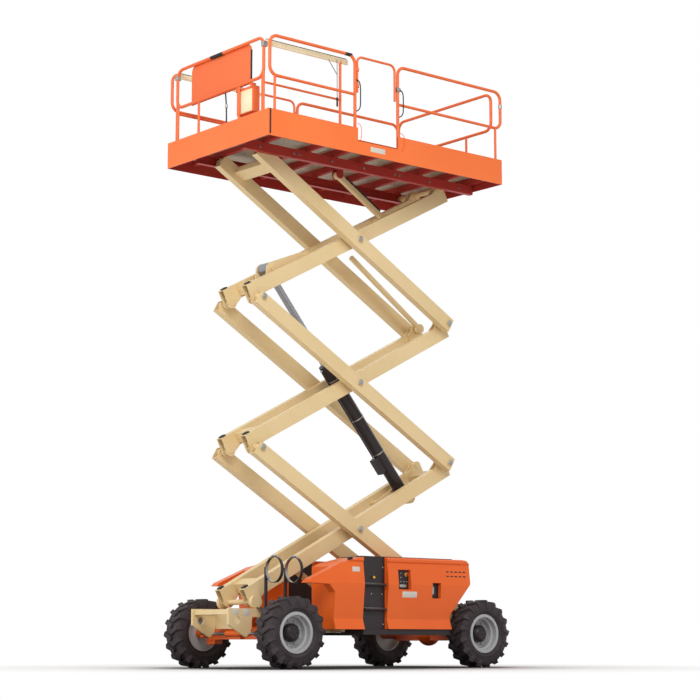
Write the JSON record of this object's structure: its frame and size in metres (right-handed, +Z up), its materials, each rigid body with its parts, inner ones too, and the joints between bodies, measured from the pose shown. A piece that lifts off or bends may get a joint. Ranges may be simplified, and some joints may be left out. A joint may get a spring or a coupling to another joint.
{
  "type": "rough-terrain scissor lift",
  "caption": "Rough-terrain scissor lift: wheeled chassis with steered front wheels, crossed lift arms raised by a hydraulic cylinder, and a railed work platform with roll-out deck.",
  "frame": {"origin": "on the ground, midway between the axles and the sides", "axes": "+X towards the steered end, +Y to the operator's left, +Z up"},
  "size_m": [3.942, 2.138, 7.48],
  "materials": {
    "cream_paint": "satin",
    "orange_paint": "gloss",
    "dark_red_paint": "satin",
    "deck_steel": "worn",
    "black_paint": "satin",
    "hard_chrome": "polished",
    "tyre_rubber": "matte",
    "rim_steel": "satin"
  },
  "bodies": {
    "chassis": {"chassis_frame": "cream_paint", "front_axle": "orange_paint", "rear_axle": "orange_paint", "engine_block": "black_paint", "cover_front_left": "orange_paint", "cover_front_right": "orange_paint", "ladder_left": "black_paint", "ladder_right": "black_paint", "side_box_left": "orange_paint", "side_box_right": "orange_paint", "bottle_cradle": "black_paint"},
    "door_left": {"door_left": "orange_paint"},
    "door_right": {"door_right": "orange_paint"},
    "knuckle_left": {"knuckle_left": "orange_paint"},
    "knuckle_right": {"knuckle_right": "orange_paint"},
    "tie_rod": {"tie_rod": "hard_chrome"},
    "wheel_front_left": {"tyre_front_left": "tyre_rubber", "rim_front_left": "rim_steel"},
    "wheel_front_right": {"tyre_front_right": "tyre_rubber", "rim_front_right": "rim_steel"},
    "wheel_rear_left": {"tyre_rear_left": "tyre_rubber", "rim_rear_left": "rim_steel"},
    "wheel_rear_right": {"tyre_rear_right": "tyre_rubber", "rim_rear_right": "rim_steel"},
    "base_link": {"base_link": "cream_paint"},
    "arm_a1": {"arm_a1": "cream_paint", "cross_a1": "cream_paint"},
    "arm_b1": {"arm_b1": "cream_paint", "cross_b1": "cream_paint"},
    "arm_a2": {"arm_a2": "cream_paint", "cross_a2": "cream_paint"},
    "arm_b2": {"arm_b2": "cream_paint"},
    "arm_a3": {"arm_a3": "cream_paint", "cross_a3": "cream_paint"},
    "arm_b3": {"arm_b3": "cream_paint", "cross_b3": "cream_paint"},
    "platform_link": {"platform_link": "cream_paint"},
    "lift_barrel": {"lift_barrel": "black_paint"},
    "lift_rod": {"lift_rod": "hard_chrome"},
    "platform": {"platform_frame": "dark_red_paint", "deck_plate": "deck_steel", "platform_skirt": "orange_paint", "rail_left": "orange_paint", "rail_right": "orange_paint", "rail_rear": "orange_paint"},
    "gate": {"gate": "orange_paint"},
    "extension": {"extension_deck": "orange_paint", "extension_rails": "orange_paint", "guard_plate": "orange_paint", "control_box": "orange_paint"}
  },
  "joints": [
    {"name": "scissor_lift", "type": "hinge", "parent": "chassis", "child": "base_link", "pos_m": [0.036, 0, 0.779], "axis": [0, -1, 0], "range_deg": [-26.07, 28.53]},
    {"name": "a1_fold", "type": "hinge", "parent": "base_link", "child": "arm_a1", "pos_m": [0.79061, 0, 1.23367], "axis": [0, -1, 0], "range_deg": [-57.06, 52.14]},
    {"name": "b1_fold", "type": "hinge", "parent": "arm_a1", "child": "arm_b1", "pos_m": [0.036, 0, 1.68834], "axis": [0, -1, 0], "range_deg": [-52.14, 57.06]},
    {"name": "a2_fold", "type": "hinge", "parent": "arm_b1", "child": "arm_a2", "pos_m": [1.54522, 0, 2.59768], "axis": [0, -1, 0], "range_deg": [-57.06, 52.14]},
    {"name": "b2_fold", "type": "hinge", "parent": "arm_a2", "child": "arm_b2", "pos_m": [0.036, 0, 3.50703], "axis": [0, -1, 0], "range_deg": [-52.14, 57.06]},
    {"name": "a3_fold", "type": "hinge", "parent": "arm_b2", "child": "arm_a3", "pos_m": [1.54522, 0, 4.41637], "axis": [0, -1, 0], "range_deg": [-57.06, 52.14]},
    {"name": "b3_fold", "type": "hinge", "parent": "arm_a3", "child": "arm_b3", "pos_m": [0.036, 0, 5.32571], "axis": [0, -1, 0], "range_deg": [-52.14, 57.06]},
    {"name": "link_fold", "type": "hinge", "parent": "arm_a3", "child": "platform_link", "pos_m": [-0.71861, 0, 5.78038], "axis": [0, -1, 0], "range_deg": [-52.14, 57.06]},
    {"name": "platform_level", "type": "hinge", "parent": "platform_link", "child": "platform", "pos_m": [0.036, 0, 6.23505], "axis": [0, -1, 0], "range_deg": [-28.53, 26.07]},
    {"name": "barrel_swing", "type": "hinge", "parent": "arm_a1", "child": "lift_barrel", "pos_m": [-1.088, 0, 2.15193], "axis": [0, -1, 0], "range_deg": [-58.66, 64.19]},
    {"name": "rod_stroke", "type": "slide", "parent": "lift_barrel", "child": "lift_rod", "axis": [0.6384, 0, 0.7697], "range_m": [-0.87345, 0.95586]},
    {"name": "steer_left", "type": "hinge", "parent": "chassis", "child": "knuckle_left", "pos_m": [1.488, 0.64, 0.4165], "axis": [0, 0, 1], "range_deg": [-35, 35]},
    {"name": "steer_right", "type": "hinge", "parent": "chassis", "child": "knuckle_right", "pos_m": [1.488, -0.64, 0.4165], "axis": [0, 0, 1], "range_deg": [-35, 35]},
    {"name": "tie_rod_shift", "type": "slide", "parent": "chassis", "child": "tie_rod", "axis": [0, 1, 0], "range_m": [-0.0734, 0.0734]},
    {"name": "wheel_front_left_spin", "type": "hinge", "parent": "knuckle_left", "child": "wheel_front_left", "pos_m": [1.488, 0.914, 0.4165], "axis": [0, 1, 0], "continuous": true},
    {"name": "wheel_front_right_spin", "type": "hinge", "parent": "knuckle_right", "child": "wheel_front_right", "pos_m": [1.488, -0.914, 0.4165], "axis": [0, 1, 0], "continuous": true},
    {"name": "wheel_rear_left_spin", "type": "hinge", "parent": "chassis", "child": "wheel_rear_left", "pos_m": [-1.488, 0.914, 0.4165], "axis": [0, 1, 0], "continuous": true},
    {"name": "wheel_rear_right_spin", "type": "hinge", "parent": "chassis", "child": "wheel_rear_right", "pos_m": [-1.488, -0.914, 0.4165], "axis": [0, 1, 0], "continuous": true},
    {"name": "door_left_swing", "type": "hinge", "parent": "chassis", "child": "door_left", "pos_m": [0.024, 0.965, 0.9], "axis": [0, 0, -1], "range_deg": [0, 100]},
    {"name": "door_right_swing", "type": "hinge", "parent": "chassis", "child": "door_right", "pos_m": [0.024, -0.965, 0.9], "axis": [0, 0, 1], "range_deg": [0, 100]},
    {"name": "extension_roll", "type": "slide", "parent": "platform", "child": "extension", "axis": [1, 0, 0], "range_m": [0, 1.2]},
    {"name": "gate_swing", "type": "hinge", "parent": "platform", "child": "gate", "pos_m": [0.563, 1.02, 7], "axis": [0, 0, 1], "range_deg": [0, 90]}
  ],
  "couplings": [
    {"joint": "a1_fold", "follows": "scissor_lift", "ratio": -2},
    {"joint": "b1_fold", "follows": "scissor_lift", "ratio": 2},
    {"joint": "a2_fold", "follows": "scissor_lift", "ratio": -2},
    {"joint": "b2_fold", "follows": "scissor_lift", "ratio": 2},
    {"joint": "a3_fold", "follows": "scissor_lift", "ratio": -2},
    {"joint": "b3_fold", "follows": "scissor_lift", "ratio": 2},
    {"joint": "link_fold", "follows": "scissor_lift", "ratio": 2},
    {"joint": "platform_level", "follows": "scissor_lift", "ratio": -1},
    {"joint": "barrel_swing", "follows": "scissor_lift", "ratio": 2.25},
    {"joint": "rod_stroke", "follows": "scissor_lift", "m_per_rad": 1.9194},
    {"joint": "steer_right", "follows": "steer_left", "ratio": 1},
    {"joint": "tie_rod_shift", "follows": "steer_left", "m_per_rad": 0.12}
  ]
}
